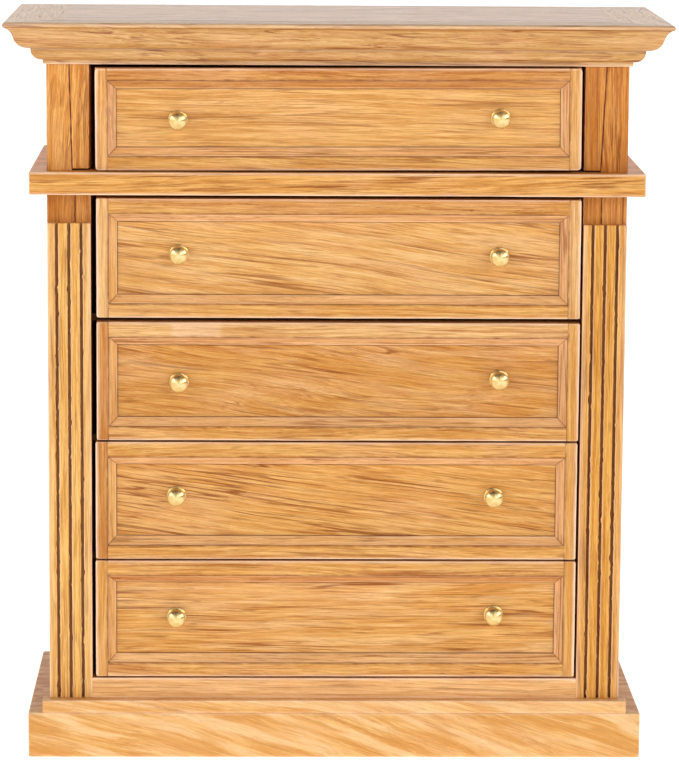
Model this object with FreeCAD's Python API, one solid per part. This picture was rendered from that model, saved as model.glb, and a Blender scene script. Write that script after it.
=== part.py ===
import FreeCAD, Part

import math
import os

V = FreeCAD.Vector

# Miniature chest of drawers at 1:12 scale, in millimetres.
# The origin is the centre of the footprint, on the surface that the base stands on.
# +X is to the right, -Y is the front and +Z is up.
# "Column" means a side board and its lining together, as seen from the front.

# ---------------------------------------------------------------- driving dimensions

# Case
COLUMN_TO_COLUMN = 83.2      # outside of the left side board to outside of the right one
CASE_DEPTH = 35.0            # front edges of the side boards to the back of the case
SIDE_THICKNESS = 3.95        # outer side boards
LINING_THICKNESS = 2.3       # inner boards that carry the dust boards
LINING_SHORTFALL = 0.28      # gap under the upper linings
BACK_THICKNESS = 1.5         # back panels, let in between rebates in the side boards
BACK_REBATE = 2.0            # how far the back panels lap onto the side boards
APPLIED_THICKNESS = 1.4      # pilaster strips, drawer frames and the proud part of the rail

# Base
BASE_HEIGHT = 6.65
BASE_PROJECTION = 3.05       # past the columns, at the front and at each side
STRIP_HEIGHT = 1.85
STRIP_PROJECTION = 0.95      # past the columns at each side
RAIL_HEIGHT = 2.95
BOTTOM_BOARD_THICKNESS = 1.2

# Waist and cornice
WAIST_THICKNESS = 3.25
WAIST_PROJECTION = 2.48
CORNER_RADIUS = 0.45         # upright corners of the base slab and the waist board
CORNICE_LAP = 1.7            # over the tops of the columns
NOSE_HEIGHT = 0.75           # half-round bead at the top edge
NOSE_OVERHANG = 0.4          # past the start of the cove
COVE_RADIUS = 2.35           # hollow that runs into the upper ovolo below it
COVE_START_LEAN = 58.0       # lean of the hollow under the nose, in degrees from upright
COVE_STOP_LEAN = 14.0        # lean where the hollow meets the upper ovolo
UPPER_OVOLO_RADIUS = 2.15
UPPER_LEDGE = 0.25           # flat under the upper ovolo
LOWER_OVOLO_RADIUS = 1.55
LOWER_OVOLO_DROP = 0.22      # upright fillet above the lower ovolo
FOOT_LEDGE = 0.08            # flat under the lower ovolo
FOOT_PROJECTION = 0.5        # of the small square at the foot, past the columns
FOOT_HEIGHT = 0.63

# Pilasters
PLAIN_BLOCK_HEIGHT = 4.2     # plain column between the pilaster strip and the waist board
PILASTER_SETBACK = 0.05      # of the strip's outer edge, from the side board's
FLUTE_COUNT = 3
FLUTE_PITCH = 1.76
FLUTE_WIDTH = 0.44
FLUTE_DEPTH = 0.8

# Drawers. Lists run from the top drawer down. The gaps differ, because the piece is made by hand.
UPPER_FRONT_HEIGHT = 14.55
LOWER_FRONT_HEIGHT = 17.2
GAPS_UNDER = [0.3, 0.68, 0.31, 0.31, 0.28]
GAPS_LEFT = [0.72, 0.82, 0.8, 0.6, 0.54]
GAPS_RIGHT = [0.56, 0.38, 0.32, 0.4, 0.35]
GAP_OVER_UPPER = 0.38        # between the upper front and the cornice
GAP_OVER_LOWER = 0.6         # between the highest lower front and the waist board

# Drawer fronts
FRONT_BOARD_THICKNESS = 1.6
STILE_WIDTH = 1.75
UPPER_TOP_RAIL = 1.75
LOWER_TOP_RAIL = 2.2
BOTTOM_FRAME_RAIL = 2.0
BEADING_WIDTH = 1.2
BEADING_SETBACK = 0.2        # beading's thick edge, behind the frame's face
BEADING_EDGE = 0.15          # beading's thin edge, off the panel

# Drawer boxes
BOX_SIDE_THICKNESS = 1.5
BOX_BACK_THICKNESS = 1.3
BOX_BOTTOM_THICKNESS = 0.9
BOX_SIDE_INSET = 0.2         # box sides, in from the ends of the front
BOX_UNDER_CLEARANCE = 0.15   # over the board that the box slides on
BOX_OVER_CLEARANCE = 0.8     # under the board above
BOX_BACK_CLEARANCE = 0.6     # in front of the back panel
DUST_BOARD_THICKNESS = 1.0
DUST_GROOVE_DEPTH = 0.8      # in the linings
STOP_CLEARANCE = 0.15        # between a drawer front and the edge of its dust board

# Knobs
KNOB_SPACING = 46.2
KNOB_OFFSETS = [             # right and up from their even places, left knob and right knob
    [(0.15, -0.2), (0.1, 0.05)],
    [(0.15, 0.45), (0.05, 0.25)],
    [(0.15, -0.3), (0.2, 0.2)],
    [(-0.1, 0.5), (-0.25, 0.4)],
    [(-0.1, 0.0), (-0.05, 0.4)],
]
FLANGE_RADIUS = 1.42
FLANGE_THICKNESS = 0.3
NECK_RADIUS = 0.55
BALL_RADIUS = 1.32
BALL_SINK = 0.22             # how far its back is sunk into the flange
BALL_CENTRE = FLANGE_THICKNESS + BALL_RADIUS - BALL_SINK       # in front of the panel
PIN_RADIUS = 0.35
PIN_CLEARANCE = 0.02

# ---------------------------------------------------------------- places worked out from them

# Cornice, as its mouldings add up outwards from the foot and downwards from the nose
START_LEAN = math.radians(COVE_START_LEAN)
STOP_LEAN = math.radians(COVE_STOP_LEAN)
LOWER_OVOLO_END = FOOT_PROJECTION + FOOT_LEDGE
LOWER_OVOLO_FACE = LOWER_OVOLO_END + LOWER_OVOLO_RADIUS
UPPER_OVOLO_END = LOWER_OVOLO_FACE + UPPER_LEDGE
COVE_STOP = UPPER_OVOLO_END + UPPER_OVOLO_RADIUS * math.cos(STOP_LEAN)
COVE_START = COVE_STOP + COVE_RADIUS * (math.cos(STOP_LEAN) - math.cos(START_LEAN))
CORNICE_PROJECTION = COVE_START + NOSE_OVERHANG
COVE_STOP_DROP = NOSE_HEIGHT + COVE_RADIUS * (math.sin(START_LEAN) - math.sin(STOP_LEAN))
UPPER_OVOLO_STOP = COVE_STOP_DROP + UPPER_OVOLO_RADIUS * (1 - math.sin(STOP_LEAN))
LOWER_OVOLO_START = UPPER_OVOLO_STOP + LOWER_OVOLO_DROP
LOWER_OVOLO_STOP = LOWER_OVOLO_START + LOWER_OVOLO_RADIUS
CORNICE_HEIGHT = LOWER_OVOLO_STOP + FOOT_HEIGHT

# Depth: y grows towards the back.
TOTAL_DEPTH = CASE_DEPTH + CORNICE_PROJECTION
COLUMN_FACE = CORNICE_PROJECTION - TOTAL_DEPTH / 2
BACK_FACE = COLUMN_FACE + CASE_DEPTH
BACK_PANEL_FACE = BACK_FACE - BACK_THICKNESS
APPLIED_FACE = COLUMN_FACE - APPLIED_THICKNESS
FRONT_BOARD_BACK = COLUMN_FACE + FRONT_BOARD_THICKNESS
DUST_BOARD_FACE = FRONT_BOARD_BACK + STOP_CLEARANCE
BOX_END = BACK_PANEL_FACE - BOX_BACK_CLEARANCE

# Width
COLUMN_OUTER = COLUMN_TO_COLUMN / 2
SIDE_INNER = COLUMN_OUTER - SIDE_THICKNESS
OPENING = SIDE_INNER - LINING_THICKNESS
CORNICE_NOSE = COLUMN_OUTER + CORNICE_PROJECTION
CORNICE_INNER = COLUMN_OUTER - CORNICE_LAP

# Height
STRIP_TOP = BASE_HEIGHT + STRIP_HEIGHT
RAIL_TOP = STRIP_TOP + RAIL_HEIGHT


def stack_fronts(floor, heights, gaps):
    """Lowest and highest level of each front, for fronts given from the bottom up."""
    levels = []
    for height, gap in zip(heights, gaps):
        low = floor + gap
        floor = low + height
        levels.append((low, floor))
    return levels


LOWER_FRONTS = stack_fronts(RAIL_TOP, [LOWER_FRONT_HEIGHT] * 4, GAPS_UNDER[:0:-1])
WAIST_BOTTOM = LOWER_FRONTS[-1][1] + GAP_OVER_LOWER
WAIST_TOP = WAIST_BOTTOM + WAIST_THICKNESS
UPPER_FRONTS = stack_fronts(WAIST_TOP, [UPPER_FRONT_HEIGHT], GAPS_UNDER[:1])
CORNICE_BOTTOM = UPPER_FRONTS[0][1] + GAP_OVER_UPPER
TOP = CORNICE_BOTTOM + CORNICE_HEIGHT
PILASTER_TOP = WAIST_BOTTOM - PLAIN_BLOCK_HEIGHT

FRONTS = UPPER_FRONTS + LOWER_FRONTS[::-1]      # drawer 1 is the top one

# Each dust board lies halfway between the fronts above and below it.
DUST_BOARDS = []
for upper, lower in zip(FRONTS[1:4], FRONTS[2:5]):
    middle = (upper[0] + lower[1]) / 2
    DUST_BOARDS.append((middle - DUST_BOARD_THICKNESS / 2, middle + DUST_BOARD_THICKNESS / 2))

# Floor and ceiling of each drawer's space, from the top drawer down.
FLOORS = [WAIST_TOP] + [board[1] for board in DUST_BOARDS] + [RAIL_TOP]
CEILINGS = [CORNICE_BOTTOM, WAIST_BOTTOM] + [board[0] for board in DUST_BOARDS]

# ---------------------------------------------------------------- helpers

os.makedirs("parts", exist_ok=True)


def save(name, *solids):
    shape = solids[0] if len(solids) == 1 else Part.makeCompound(list(solids))
    shape.exportStep(os.path.join("parts", name + ".step"))


def box(x, y, z):
    """Block between the two values of each pair."""
    return Part.makeBox(x[1] - x[0], y[1] - y[0], z[1] - z[0], V(x[0], y[0], z[0]))


def round_upright_edges(shape, radius, face_y):
    """Round the upright edges that lie on the plane y = face_y."""
    edges = []
    for edge in shape.Edges:
        bounds = edge.BoundBox
        if bounds.ZLength > bounds.XLength + bounds.YLength and abs(bounds.YMin - face_y) < 0.01:
            edges.append(edge)
    return shape.makeFillet(radius, edges)


def mirrored(shape):
    return shape.mirror(V(0, 0, 0), V(1, 0, 0))


def save_pair(stem, left_shape):
    """Save a left piece and its mirror image."""
    save(stem + "_left", left_shape)
    save(stem + "_right", mirrored(left_shape))


def polygon_face(points):
    return Part.Face(Part.makePolygon(points + points[:1]))


def bevelled_block(front, back):
    """Solid between two quadrilaterals with matching corners."""
    faces = [polygon_face(front), polygon_face(back)]
    for i in range(4):
        j = (i + 1) % 4
        faces.append(polygon_face([front[i], front[j], back[j], back[i]]))
    return Part.Solid(Part.Shell(faces))


# ---------------------------------------------------------------- base


def build_base():
    half = COLUMN_OUTER + BASE_PROJECTION
    front = COLUMN_FACE - BASE_PROJECTION
    slab = box((-half, half), (front, BACK_FACE), (0, BASE_HEIGHT))
    save("base_slab", round_upright_edges(slab, CORNER_RADIUS, front))

    strip_half = COLUMN_OUTER + STRIP_PROJECTION
    save("base_strip", box((-strip_half, strip_half), (front, COLUMN_FACE), (BASE_HEIGHT, STRIP_TOP)))

    rail = box((-OPENING, OPENING), (APPLIED_FACE, FRONT_BOARD_BACK), (STRIP_TOP, RAIL_TOP))
    save("bottom_rail", rail)


# ---------------------------------------------------------------- sides, linings and boards between


def groove(levels):
    """The space that a board between the linings takes, grooves included."""
    half = OPENING + DUST_GROOVE_DEPTH
    return box((-half, half), (DUST_BOARD_FACE, BACK_PANEL_FACE), levels)


def bottom_board():
    half = OPENING + DUST_GROOVE_DEPTH
    levels = (RAIL_TOP - BOTTOM_BOARD_THICKNESS, RAIL_TOP)
    return box((-half, half), (FRONT_BOARD_BACK, BACK_PANEL_FACE), levels)


def side_board(levels):
    board = box((-COLUMN_OUTER, -SIDE_INNER), (COLUMN_FACE, BACK_FACE), levels)
    rebate = box((-SIDE_INNER - BACK_REBATE, -SIDE_INNER), (BACK_PANEL_FACE, BACK_FACE), levels)
    return board.cut(rebate)


def lining(levels):
    """Inner board beside the left side board."""
    return box((-SIDE_INNER, -OPENING), (COLUMN_FACE, BACK_PANEL_FACE), levels)


def back_panel(levels):
    half = SIDE_INNER + BACK_REBATE
    return box((-half, half), (BACK_PANEL_FACE, BACK_FACE), levels)


def build_case():
    lower = (BASE_HEIGHT, WAIST_BOTTOM)
    upper = (WAIST_TOP, CORNICE_BOTTOM)

    save_pair("side_lower", side_board(lower))
    save_pair("side_upper", side_board(upper))
    save_pair("lining_upper", lining((WAIST_TOP + LINING_SHORTFALL, CORNICE_BOTTOM)))
    save("back_lower", back_panel(lower))
    save("back_upper", back_panel(upper))

    lower_lining = lining(lower).cut(bottom_board())
    for number, levels in enumerate(DUST_BOARDS, start=1):
        lower_lining = lower_lining.cut(groove(levels))
        save("dust_board_%d" % number, groove(levels))
    save_pair("lining_lower", lower_lining)
    save("bottom_board", bottom_board())

    half = COLUMN_OUTER + WAIST_PROJECTION
    front = COLUMN_FACE - WAIST_PROJECTION
    waist = box((-half, half), (front, BACK_FACE), (WAIST_BOTTOM, WAIST_TOP))
    save("waist_board", round_upright_edges(waist, CORNER_RADIUS, front))


def build_pilasters():
    """Strips on the columns, each with saw-cut grooves that run out at both ends."""
    levels = (STRIP_TOP, PILASTER_TOP)
    outer = COLUMN_OUTER - PILASTER_SETBACK
    strip = box((-outer, -OPENING), (APPLIED_FACE, COLUMN_FACE), levels)
    middle = -(outer + OPENING) / 2
    for i in range(FLUTE_COUNT):
        x = middle + (i - (FLUTE_COUNT - 1) / 2) * FLUTE_PITCH
        sides = (x - FLUTE_WIDTH / 2, x + FLUTE_WIDTH / 2)
        strip = strip.cut(box(sides, (APPLIED_FACE, APPLIED_FACE + FLUTE_DEPTH), levels))
    save_pair("pilaster", strip)


# ---------------------------------------------------------------- top and cornice


def cornice_profile(place):
    """Closed face of the moulding. place(out, drop) gives the point that stands out from the
    column by out and lies below the top surface by drop."""
    nose = NOSE_HEIGHT / 2
    tip = CORNICE_PROJECTION - nose

    def line(a, b):
        return Part.makeLine(place(*a), place(*b))

    def arc(centre, radius, start, stop):
        """Arc between two directions, as angles below the level outward direction."""
        points = []
        for angle in (start, (start + stop) / 2, stop):
            points.append(place(centre[0] + radius * math.cos(angle), centre[1] + radius * math.sin(angle)))
        return Part.Arc(*points).toShape()

    upper_centre = (UPPER_OVOLO_END, UPPER_OVOLO_STOP - UPPER_OVOLO_RADIUS)
    lower_centre = (LOWER_OVOLO_END, LOWER_OVOLO_START)
    cove_centre = (COVE_STOP + COVE_RADIUS * math.cos(STOP_LEAN),
                   COVE_STOP_DROP + COVE_RADIUS * math.sin(STOP_LEAN))
    down = math.pi / 2
    edges = [
        line((-CORNICE_LAP, 0), (tip, 0)),
        arc((tip, nose), nose, -down, down),
        line((tip, NOSE_HEIGHT), (COVE_START, NOSE_HEIGHT)),
        arc(cove_centre, COVE_RADIUS, START_LEAN + math.pi, STOP_LEAN + math.pi),
        arc(upper_centre, UPPER_OVOLO_RADIUS, STOP_LEAN, down),
        line((UPPER_OVOLO_END, UPPER_OVOLO_STOP), (LOWER_OVOLO_FACE, UPPER_OVOLO_STOP)),
        line((LOWER_OVOLO_FACE, UPPER_OVOLO_STOP), (LOWER_OVOLO_FACE, LOWER_OVOLO_START)),
        arc(lower_centre, LOWER_OVOLO_RADIUS, 0, down),
        line((LOWER_OVOLO_END, LOWER_OVOLO_STOP), (FOOT_PROJECTION, LOWER_OVOLO_STOP)),
        line((FOOT_PROJECTION, LOWER_OVOLO_STOP), (FOOT_PROJECTION, CORNICE_HEIGHT)),
        line((FOOT_PROJECTION, CORNICE_HEIGHT), (-CORNICE_LAP, CORNICE_HEIGHT)),
        line((-CORNICE_LAP, CORNICE_HEIGHT), (-CORNICE_LAP, 0)),
    ]
    return Part.Face(Part.Wire(edges))


def mitre_prism(corners):
    """Upright prism over a plan outline, from the foot of the cornice to its top."""
    outline = polygon_face([V(x, y, CORNICE_BOTTOM) for x, y in corners])
    return outline.extrude(V(0, 0, CORNICE_HEIGHT))


def build_top():
    nose_y = COLUMN_FACE - CORNICE_PROJECTION
    inner_y = COLUMN_FACE + CORNICE_LAP

    front_face = cornice_profile(lambda out, drop: V(-CORNICE_NOSE, COLUMN_FACE - out, TOP - drop))
    front_length = front_face.extrude(V(2 * CORNICE_NOSE, 0, 0))
    front_plan = [(-CORNICE_NOSE, nose_y), (CORNICE_NOSE, nose_y),
                  (CORNICE_INNER, inner_y), (-CORNICE_INNER, inner_y)]
    save("cornice_front", front_length.common(mitre_prism(front_plan)))

    side_face = cornice_profile(lambda out, drop: V(-COLUMN_OUTER - out, nose_y, TOP - drop))
    side_length = side_face.extrude(V(0, BACK_FACE - nose_y, 0))
    side_plan = [(-CORNICE_NOSE, nose_y), (-CORNICE_INNER, inner_y),
                 (-CORNICE_INNER, BACK_FACE), (-CORNICE_NOSE, BACK_FACE)]
    save_pair("cornice", side_length.common(mitre_prism(side_plan)))

    save("top_board", box((-CORNICE_INNER, CORNICE_INNER), (inner_y, BACK_FACE), (CORNICE_BOTTOM, TOP)))


# ---------------------------------------------------------------- drawers


def cylinder_to_front(radius, x, y, z, length):
    """Cylinder from y towards the front."""
    return Part.makeCylinder(radius, length, V(x, y, z), V(0, -1, 0))


def knob(x, z):
    flange = cylinder_to_front(FLANGE_RADIUS, x, COLUMN_FACE, z, FLANGE_THICKNESS)
    neck = cylinder_to_front(NECK_RADIUS, x, COLUMN_FACE, z, BALL_CENTRE)
    ball = Part.makeSphere(BALL_RADIUS, V(x, COLUMN_FACE - BALL_CENTRE, z))
    pin = cylinder_to_front(PIN_RADIUS, x, FRONT_BOARD_BACK, z, FRONT_BOARD_THICKNESS + FLANGE_THICKNESS)
    return flange.multiFuse([neck, ball, pin]).removeSplitter()


def frame_strips(left, right, low, high, top_rail):
    """Full-height stiles, with the rails between them."""
    depth = (APPLIED_FACE, COLUMN_FACE)
    inner_left = left + STILE_WIDTH
    inner_right = right - STILE_WIDTH
    return [
        box((left, inner_left), depth, (low, high)),
        box((inner_right, right), depth, (low, high)),
        box((inner_left, inner_right), depth, (high - top_rail, high)),
        box((inner_left, inner_right), depth, (low, low + BOTTOM_FRAME_RAIL)),
    ]


def beading_strips(left, right, low, high, top_rail):
    """Four mitred strips inside the frame, sloping down to the panel."""
    outer = [(left + STILE_WIDTH, low + BOTTOM_FRAME_RAIL),
             (right - STILE_WIDTH, low + BOTTOM_FRAME_RAIL),
             (right - STILE_WIDTH, high - top_rail),
             (left + STILE_WIDTH, high - top_rail)]
    steps = [(1, 1), (-1, 1), (-1, -1), (1, -1)]
    inner = [(x + BEADING_WIDTH * dx, z + BEADING_WIDTH * dz) for (x, z), (dx, dz) in zip(outer, steps)]
    thick_y = APPLIED_FACE + BEADING_SETBACK
    thin_y = COLUMN_FACE - BEADING_EDGE
    strips = []
    for i in range(4):
        j = (i + 1) % 4
        plan = [outer[i], outer[j], inner[j], inner[i]]
        depths = [thick_y, thick_y, thin_y, thin_y]
        front = [V(x, y, z) for (x, z), y in zip(plan, depths)]
        back = [V(x, COLUMN_FACE, z) for x, z in plan]
        strips.append(bevelled_block(front, back))
    return strips


def build_drawer(number):
    low, high = FRONTS[number - 1]
    left = GAPS_LEFT[number - 1] - OPENING
    right = OPENING - GAPS_RIGHT[number - 1]
    top_rail = UPPER_TOP_RAIL if number == 1 else LOWER_TOP_RAIL
    stem = "drawer_%d_" % number

    # Front board with a hole for each knob's pin
    even_places = [(left + right - KNOB_SPACING) / 2, (left + right + KNOB_SPACING) / 2]
    knob_places = []
    for even_x, (right_by, up_by) in zip(even_places, KNOB_OFFSETS[number - 1]):
        knob_places.append((even_x + right_by, (low + high) / 2 + up_by))
    board = box((left, right), (COLUMN_FACE, FRONT_BOARD_BACK), (low, high))
    for x, z in knob_places:
        hole = cylinder_to_front(PIN_RADIUS + PIN_CLEARANCE, x, FRONT_BOARD_BACK, z,
                                 FRONT_BOARD_THICKNESS)
        board = board.cut(hole)
    save(stem + "front", board)
    save(stem + "frame", *frame_strips(left, right, low, high, top_rail))
    save(stem + "beading", *beading_strips(left, right, low, high, top_rail))
    save(stem + "knobs", *[knob(x, z) for x, z in knob_places])

    # Box behind the front, between the board it slides on and the board above
    floor = FLOORS[number - 1] + BOX_UNDER_CLEARANCE
    rim = CEILINGS[number - 1] - BOX_OVER_CLEARANCE
    outside = (left + BOX_SIDE_INSET, right - BOX_SIDE_INSET)
    inside = (outside[0] + BOX_SIDE_THICKNESS, outside[1] - BOX_SIDE_THICKNESS)
    depth = (FRONT_BOARD_BACK, BOX_END)
    bottom_top = floor + BOX_BOTTOM_THICKNESS
    save(stem + "sides",
         box((outside[0], inside[0]), depth, (floor, rim)),
         box((inside[1], outside[1]), depth, (floor, rim)))
    save(stem + "bottom", box(inside, depth, (floor, bottom_top)))
    save(stem + "back", box(inside, (BOX_END - BOX_BACK_THICKNESS, BOX_END), (bottom_top, rim)))


build_base()
build_case()
build_pilasters()
build_top()
for drawer_number in range(1, len(FRONTS) + 1):
    build_drawer(drawer_number)
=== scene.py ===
import math

import bpy
from mathutils import Matrix, Vector, noise


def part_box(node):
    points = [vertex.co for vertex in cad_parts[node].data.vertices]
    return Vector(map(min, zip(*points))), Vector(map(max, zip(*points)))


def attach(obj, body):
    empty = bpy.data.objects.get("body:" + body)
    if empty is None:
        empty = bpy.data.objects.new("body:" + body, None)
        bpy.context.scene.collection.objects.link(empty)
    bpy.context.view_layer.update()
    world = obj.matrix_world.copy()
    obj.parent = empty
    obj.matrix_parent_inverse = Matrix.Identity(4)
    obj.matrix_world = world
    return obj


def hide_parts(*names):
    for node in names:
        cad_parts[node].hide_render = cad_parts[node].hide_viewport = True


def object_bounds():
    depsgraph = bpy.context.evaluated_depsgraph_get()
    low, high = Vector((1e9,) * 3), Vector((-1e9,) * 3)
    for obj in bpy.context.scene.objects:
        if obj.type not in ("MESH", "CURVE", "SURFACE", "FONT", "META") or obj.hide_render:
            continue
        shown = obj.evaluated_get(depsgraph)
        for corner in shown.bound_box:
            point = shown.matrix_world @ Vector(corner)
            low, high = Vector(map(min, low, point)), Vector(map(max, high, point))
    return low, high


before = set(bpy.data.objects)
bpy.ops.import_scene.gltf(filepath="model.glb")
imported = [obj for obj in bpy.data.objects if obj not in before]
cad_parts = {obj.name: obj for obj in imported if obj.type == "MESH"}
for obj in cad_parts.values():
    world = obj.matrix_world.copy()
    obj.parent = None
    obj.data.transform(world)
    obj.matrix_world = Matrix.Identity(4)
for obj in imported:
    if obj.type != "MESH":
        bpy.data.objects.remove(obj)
cad_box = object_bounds()

# Lengths are in millimetres up to the moment a mesh is made, and angles in degrees.
MM = 0.001


def span(node):
    """Lowest and highest corner of a CAD node."""
    low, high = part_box(node)
    return low / MM, high / MM


BOX_LOW, BOX_HIGH = (corner / MM for corner in cad_box)


def add_object(name, data):
    made = bpy.data.objects.new(name, data)
    bpy.context.scene.collection.objects.link(made)
    return made


# -------- node helpers


class Nodes:
    """Builds a node tree with one short call per node."""

    def __init__(self, tree):
        self.tree = tree
        tree.nodes.clear()

    def feed(self, socket, value):
        if isinstance(value, bpy.types.NodeSocket):
            self.tree.links.new(value, socket)
        elif value is not None:
            socket.default_value = value

    def add(self, kind, inputs=(), **settings):
        node = self.tree.nodes.new(kind)
        for key, value in settings.items():
            setattr(node, key, value)
        pairs = inputs.items() if isinstance(inputs, dict) else enumerate(inputs)
        for key, value in pairs:
            self.feed(node.inputs[key], value)
        return node

    def math(self, operation, *inputs):
        return self.add("ShaderNodeMath", inputs, operation=operation).outputs[0]

    def vector(self, operation, *inputs):
        node = self.add("ShaderNodeVectorMath", inputs, operation=operation)
        return node.outputs["Value" if operation == "LENGTH" else "Vector"]

    def noise(self, vector, detail=2.0, roughness=0.5):
        inputs = {"Vector": vector, "Scale": 1.0, "Detail": detail, "Roughness": roughness}
        return self.add("ShaderNodeTexNoise", inputs).outputs[0]

    def stretched(self, vector, length, width, detail=2.0, roughness=0.5):
        """Noise whose spots are length long with the grain and width wide across it."""
        scale = (1 / length, 1 / width, 1 / width)
        return self.noise(self.vector("MULTIPLY", vector, scale), detail, roughness)

    def step(self, value, low, high, start=0.0, end=1.0):
        """Goes smoothly from start to end while value goes from low to high."""
        inputs = {"Value": value, "From Min": low, "From Max": high, "To Min": start, "To Max": end}
        return self.add("ShaderNodeMapRange", inputs, interpolation_type="SMOOTHSTEP").outputs[0]

    def mix(self, factor, a, b, blend="MIX"):
        node = self.add("ShaderNodeMix", data_type="RGBA", blend_type=blend)
        for index, value in ((0, factor), (6, a), (7, b)):
            self.feed(node.inputs[index], value)
        return node.outputs[2]

    def attribute(self, name):
        return self.add("ShaderNodeAttribute", attribute_name=name).outputs["Fac"]


def linear(r, g, b):
    """Linear colour of an sRGB one given as 0 to 255."""
    channels = []
    for value in (r / 255, g / 255, b / 255):
        channels.append(value / 12.92 if value <= 0.04045 else ((value + 0.055) / 1.055) ** 2.4)
    return (*channels, 1.0)


def new_material(name):
    """Empty node material, and the builder of its tree."""
    material = bpy.data.materials.new(name)
    material.use_nodes = True
    return material, Nodes(material.node_tree)


# -------- oak

UNITS = {"X": (1, 0, 0), "Y": (0, 1, 0), "Z": (0, 0, 1)}
# Grain direction of a board, then the direction across it on its main face.
AXES = {"X": "XZ", "Z": "ZX", "Y": "YX", "XTOP": "XY"}


def grain_rotation(axes, slope, turn):
    """Euler angles that lay the grain along X and the growth rings' radius near Y."""
    along, across = (Vector(UNITS[letter]) for letter in AXES[axes])
    to_board = Matrix((along, across, along.cross(across)))
    leaning = Matrix.Rotation(math.radians(slope), 3, "Z")
    turned = Matrix.Rotation(math.radians(turn), 3, "X")
    return (turned @ leaning @ to_board).to_euler("XYZ")


OAK_LIGHT = linear(223, 172, 100)
OAK_MID = linear(208, 146, 71)
OAK_DARK = linear(180, 106, 34)
OAK_LINE = linear(142, 74, 20)
OAK_PORE = linear(104, 48, 12)
OAK_PINK = linear(227, 176, 124)
OAK_PALE = linear(240, 202, 150)
# Pale arrises, partly from rubbing and partly a painted highlight where rounded edges catch the
# light.
OAK_WORN_AND_HIGHLIGHT = linear(254, 224, 196)
# Dark glue lines and end grain, and painted shade in creases and flute hollows.
OAK_SEAM_AND_SHADE = linear(108, 42, 8)
POST = dict(shine=0.15, pink=0.1, light=linear(210, 144, 68), mid=linear(190, 116, 42),
            dark=linear(150, 80, 22))
POST_LEFT = dict(shine=0.2, pink=0.2, light=linear(228, 168, 92), mid=linear(210, 140, 60),
                 dark=linear(168, 94, 28))
BLOCK = dict(shine=0.15, pink=0.1, light=linear(204, 142, 68), mid=linear(184, 113, 42),
             dark=linear(146, 78, 22))
PILASTERS = {
    "left": dict(shine=0.15, pink=0.1, light=linear(236, 186, 106), mid=linear(219, 160, 76)),
    "right": dict(shine=0.15, pink=0.0, light=linear(226, 168, 80), mid=linear(208, 142, 54),
                  dark=linear(156, 86, 22))}


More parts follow.
